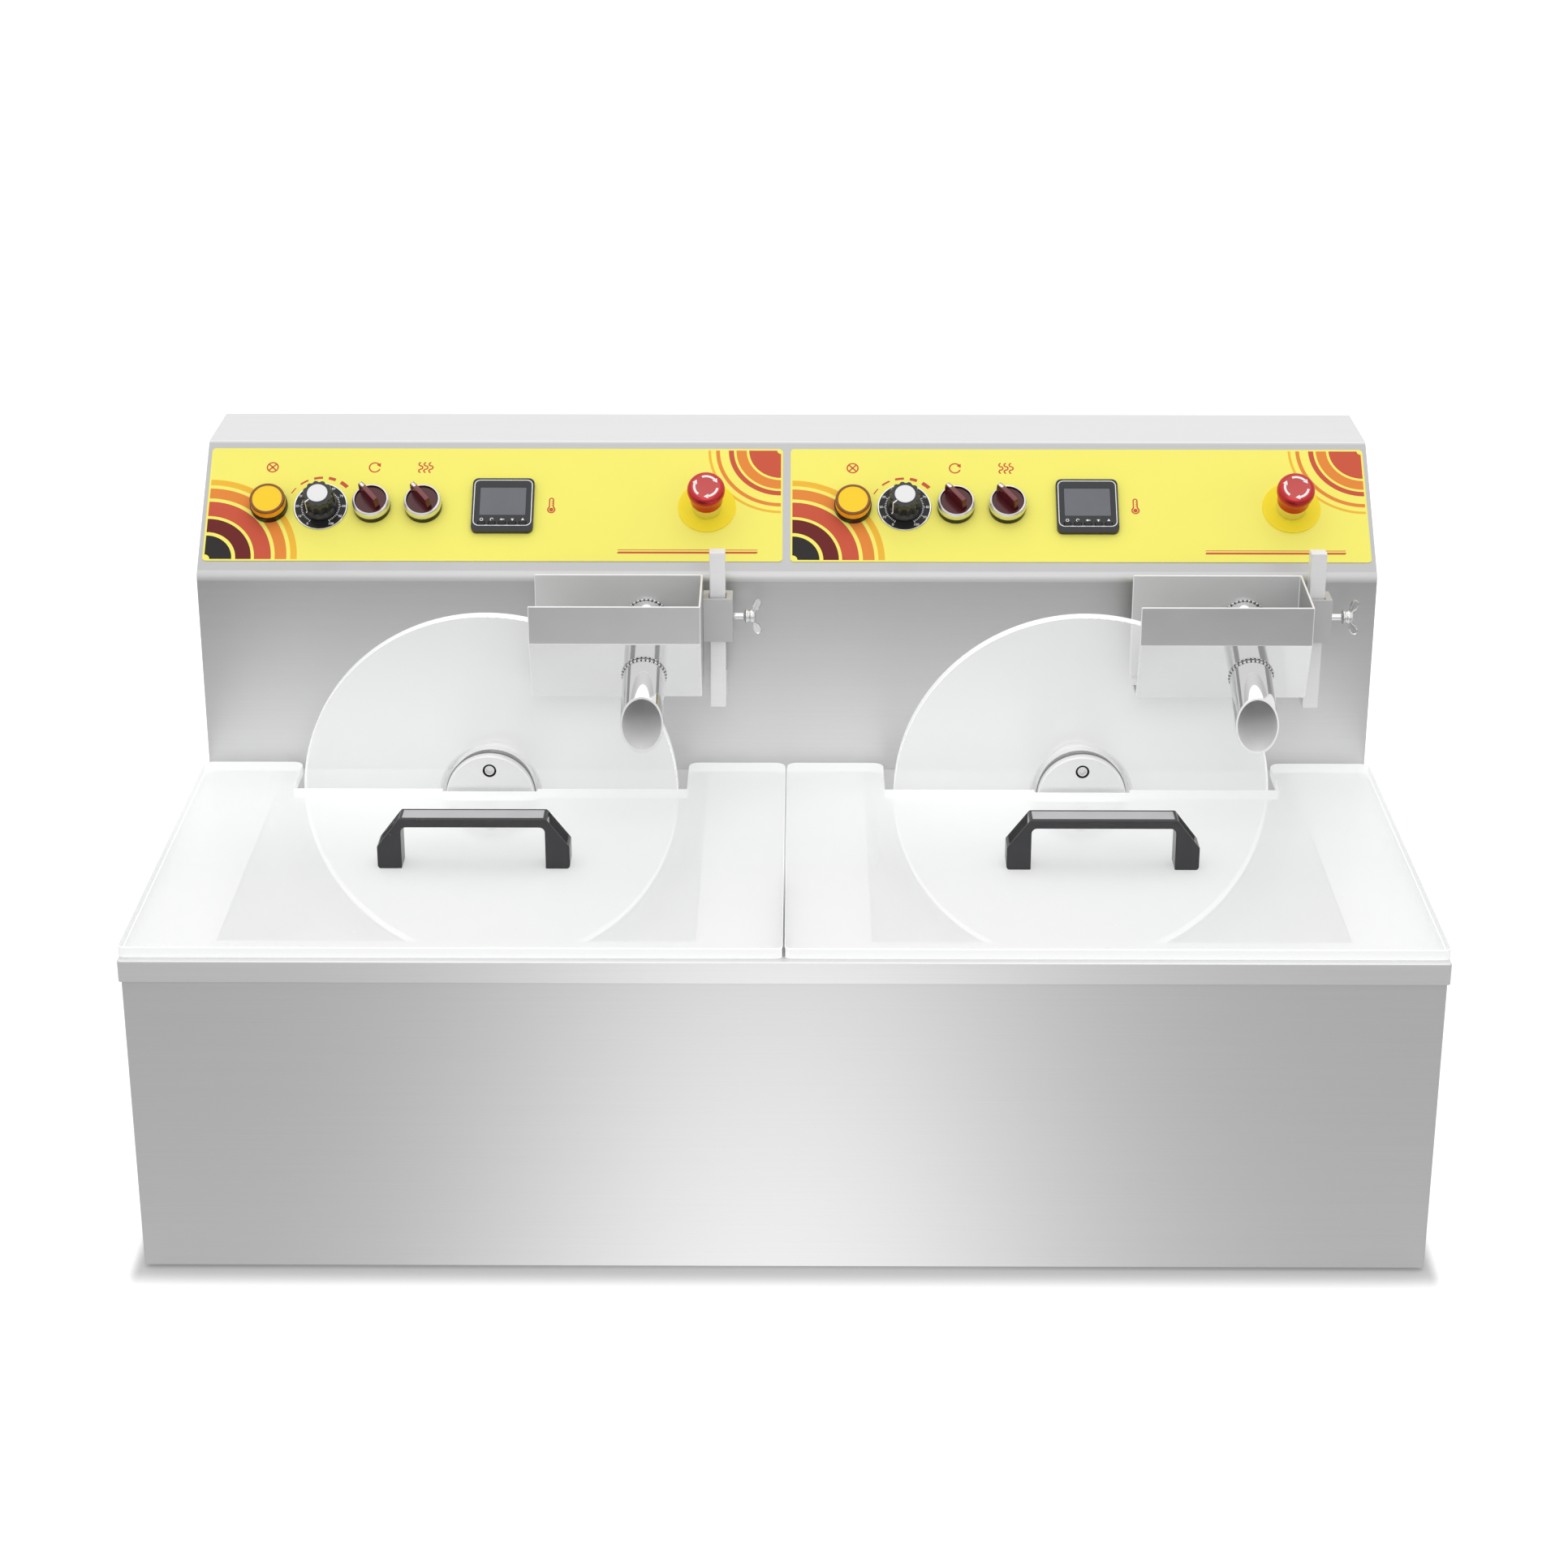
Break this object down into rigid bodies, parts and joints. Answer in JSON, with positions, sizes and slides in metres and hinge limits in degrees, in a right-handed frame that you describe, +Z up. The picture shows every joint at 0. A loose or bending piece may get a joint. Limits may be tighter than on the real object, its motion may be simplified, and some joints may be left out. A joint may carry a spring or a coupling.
{
  "type": "chocolate melting machine",
  "caption": "Table-top chocolate melting machine: heated troughs with clear lifting wheels, scraper boxes with spouts, lift-off clear lids and a sloped control console.",
  "frame": {"origin": "on the table, under the middle of the machine", "axes": "+X to the right as seen by the user, +Y to the back, +Z up"},
  "size_m": [0.912, 0.5374, 0.481],
  "materials": {
    "satin_steel": "satin stainless sheet, brushed along its length",
    "bright_steel": "polished or turned stainless steel",
    "clear_acrylic": "clear polished sheet with bright edges",
    "black_plastic": "black moulded plastic, lightly grained",
    "black_rubber": "black rubber",
    "heater_silicone": "silicone heater mat",
    "motor_paint": "grey painted gear motor",
    "bearing_plastic": "white food-safe seal",
    "printed_overlay": "yellow printed film with red and black shapes",
    "amber_lens": "smooth amber lens with a brighter face",
    "red_selector": "dark red lit selector knob",
    "red_stop": "metallic red mushroom head"
  },
  "bodies": {
    "machine": {"cabinet_shell": "satin_steel", "base_plate": "satin_steel", "top_deck": "satin_steel", "left_tank": "satin_steel", "right_tank": "satin_steel", "console_cover": "satin_steel", "rear_panel": "satin_steel", "rubber_feet": "black_rubber", "tank_heaters": "heater_silicone", "temperature_probes": "bright_steel", "gear_motors": "motor_paint", "shaft_bearings": "bearing_plastic", "scraper_posts": "satin_steel", "control_overlays": "printed_overlay", "panel_collars": "black_plastic", "pilot_lenses": "amber_lens", "switch_bezels": "bright_steel", "controller_cases": "black_plastic", "stop_collars": "bright_steel", "power_inlet": "black_plastic"},
    "left_wheel": {"left_wheel_shaft": "bright_steel", "left_wheel_disc": "clear_acrylic", "left_hub_plate": "bright_steel", "left_hub_screws": "bright_steel"},
    "left_scraper": {"left_scraper_box": "satin_steel", "left_scraper_spout": "bright_steel", "left_clamp_block": "satin_steel"},
    "left_wing_screw": {"left_wing_screw": "bright_steel"},
    "left_lid": {"left_lid": "clear_acrylic", "left_lid_handle": "black_plastic"},
    "left_speed_knob": {"left_speed_knob": "black_plastic"},
    "left_motor_switch": {"left_motor_switch_knob": "red_selector"},
    "left_heat_switch": {"left_heat_switch_knob": "red_selector"},
    "left_stop_plunger": {"left_stop_plunger": "bright_steel"},
    "left_stop_head": {"left_stop_head": "red_stop"},
    "left_key_1": {"left_controller_key_1": "black_plastic"},
    "left_key_2": {"left_controller_key_2": "black_plastic"},
    "left_key_3": {"left_controller_key_3": "black_plastic"},
    "left_key_4": {"left_controller_key_4": "black_plastic"},
    "left_key_5": {"left_controller_key_5": "black_plastic"},
    "right_wheel": {"right_wheel_shaft": "bright_steel", "right_wheel_disc": "clear_acrylic", "right_hub_plate": "bright_steel", "right_hub_screws": "bright_steel"},
    "right_scraper": {"right_scraper_box": "satin_steel", "right_scraper_spout": "bright_steel", "right_clamp_block": "satin_steel"},
    "right_wing_screw": {"right_wing_screw": "bright_steel"},
    "right_lid": {"right_lid": "clear_acrylic", "right_lid_handle": "black_plastic"},
    "right_speed_knob": {"right_speed_knob": "black_plastic"},
    "right_motor_switch": {"right_motor_switch_knob": "red_selector"},
    "right_heat_switch": {"right_heat_switch_knob": "red_selector"},
    "right_stop_plunger": {"right_stop_plunger": "bright_steel"},
    "right_stop_head": {"right_stop_head": "red_stop"},
    "right_key_1": {"right_controller_key_1": "black_plastic"},
    "right_key_2": {"right_controller_key_2": "black_plastic"},
    "right_key_3": {"right_controller_key_3": "black_plastic"},
    "right_key_4": {"right_controller_key_4": "black_plastic"},
    "right_key_5": {"right_controller_key_5": "black_plastic"}
  },
  "joints": [
    {"name": "left_wheel_spin", "type": "hinge", "parent": "machine", "child": "left_wheel", "pos_m": [-0.227, 0.042, 0.242], "axis": [0, 1, 0], "continuous": true},
    {"name": "left_scraper_height", "type": "slide", "parent": "machine", "child": "left_scraper", "axis": [0, 0, 1], "range_m": [-0.01, 0.03]},
    {"name": "left_wing_screw_turn", "type": "hinge", "parent": "left_scraper", "child": "left_wing_screw", "pos_m": [-0.027, 0.061, 0.3785], "axis": [1, 0, 0], "range_deg": [0, 360]},
    {"name": "left_lid_lift", "type": "slide", "parent": "machine", "child": "left_lid", "axis": [0, -0.94, 0.3412], "range_m": [0, 0.42]},
    {"name": "left_speed_turn", "type": "hinge", "parent": "machine", "child": "left_speed_knob", "pos_m": [-0.3625, 0.1415, 0.44], "axis": [0, 0.6694, -0.7429], "range_deg": [-20, 280]},
    {"name": "left_motor_switch_turn", "type": "hinge", "parent": "machine", "child": "left_motor_switch", "pos_m": [-0.3225, 0.1415, 0.44], "axis": [0, 0.6694, -0.7429], "range_deg": [0, 80]},
    {"name": "left_heat_switch_turn", "type": "hinge", "parent": "machine", "child": "left_heat_switch", "pos_m": [-0.2825, 0.1415, 0.44], "axis": [0, 0.6694, -0.7429], "range_deg": [0, 80]},
    {"name": "left_stop_press", "type": "slide", "parent": "machine", "child": "left_stop_plunger", "axis": [0, 0.6694, -0.7429], "range_m": [0, 0.005]},
    {"name": "left_stop_release", "type": "hinge", "parent": "left_stop_plunger", "child": "left_stop_head", "pos_m": [-0.062, 0.1415, 0.44], "axis": [0, 0.6694, -0.7429], "range_deg": [0, 45], "stiffness_Nm_per_rad": 0.05},
    {"name": "left_key_1_press", "type": "slide", "parent": "machine", "child": "left_key_1", "axis": [0, 0.6694, -0.7429], "range_m": [0, 0.0006], "stiffness_N_per_m": 400, "springref_m": -0.001},
    {"name": "left_key_2_press", "type": "slide", "parent": "machine", "child": "left_key_2", "axis": [0, 0.6694, -0.7429], "range_m": [0, 0.0006], "stiffness_N_per_m": 400, "springref_m": -0.001},
    {"name": "left_key_3_press", "type": "slide", "parent": "machine", "child": "left_key_3", "axis": [0, 0.6694, -0.7429], "range_m": [0, 0.0006], "stiffness_N_per_m": 400, "springref_m": -0.001},
    {"name": "left_key_4_press", "type": "slide", "parent": "machine", "child": "left_key_4", "axis": [0, 0.6694, -0.7429], "range_m": [0, 0.0006], "stiffness_N_per_m": 400, "springref_m": -0.001},
    {"name": "left_key_5_press", "type": "slide", "parent": "machine", "child": "left_key_5", "axis": [0, 0.6694, -0.7429], "range_m": [0, 0.0006], "stiffness_N_per_m": 400, "springref_m": -0.001},
    {"name": "right_wheel_spin", "type": "hinge", "parent": "machine", "child": "right_wheel", "pos_m": [0.227, 0.042, 0.242], "axis": [0, 1, 0], "continuous": true},
    {"name": "right_scraper_height", "type": "slide", "parent": "machine", "child": "right_scraper", "axis": [0, 0, 1], "range_m": [-0.01, 0.03]},
    {"name": "right_wing_screw_turn", "type": "hinge", "parent": "right_scraper", "child": "right_wing_screw", "pos_m": [0.427, 0.061, 0.3785], "axis": [1, 0, 0], "range_deg": [0, 360]},
    {"name": "right_lid_lift", "type": "slide", "parent": "machine", "child": "right_lid", "axis": [0, -0.94, 0.3412], "range_m": [0, 0.42]},
    {"name": "right_speed_turn", "type": "hinge", "parent": "machine", "child": "right_speed_knob", "pos_m": [0.0915, 0.1415, 0.44], "axis": [0, 0.6694, -0.7429], "range_deg": [-20, 280]},
    {"name": "right_motor_switch_turn", "type": "hinge", "parent": "machine", "child": "right_motor_switch", "pos_m": [0.1315, 0.1415, 0.44], "axis": [0, 0.6694, -0.7429], "range_deg": [0, 80]},
    {"name": "right_heat_switch_turn", "type": "hinge", "parent": "machine", "child": "right_heat_switch", "pos_m": [0.1715, 0.1415, 0.44], "axis": [0, 0.6694, -0.7429], "range_deg": [0, 80]},
    {"name": "right_stop_press", "type": "slide", "parent": "machine", "child": "right_stop_plunger", "axis": [0, 0.6694, -0.7429], "range_m": [0, 0.005]},
    {"name": "right_stop_release", "type": "hinge", "parent": "right_stop_plunger", "child": "right_stop_head", "pos_m": [0.392, 0.1415, 0.44], "axis": [0, 0.6694, -0.7429], "range_deg": [0, 45], "stiffness_Nm_per_rad": 0.05},
    {"name": "right_key_1_press", "type": "slide", "parent": "machine", "child": "right_key_1", "axis": [0, 0.6694, -0.7429], "range_m": [0, 0.0006], "stiffness_N_per_m": 400, "springref_m": -0.001},
    {"name": "right_key_2_press", "type": "slide", "parent": "machine", "child": "right_key_2", "axis": [0, 0.6694, -0.7429], "range_m": [0, 0.0006], "stiffness_N_per_m": 400, "springref_m": -0.001},
    {"name": "right_key_3_press", "type": "slide", "parent": "machine", "child": "right_key_3", "axis": [0, 0.6694, -0.7429], "range_m": [0, 0.0006], "stiffness_N_per_m": 400, "springref_m": -0.001},
    {"name": "right_key_4_press", "type": "slide", "parent": "machine", "child": "right_key_4", "axis": [0, 0.6694, -0.7429], "range_m": [0, 0.0006], "stiffness_N_per_m": 400, "springref_m": -0.001},
    {"name": "right_key_5_press", "type": "slide", "parent": "machine", "child": "right_key_5", "axis": [0, 0.6694, -0.7429], "range_m": [0, 0.0006], "stiffness_N_per_m": 400, "springref_m": -0.001}
  ]
}
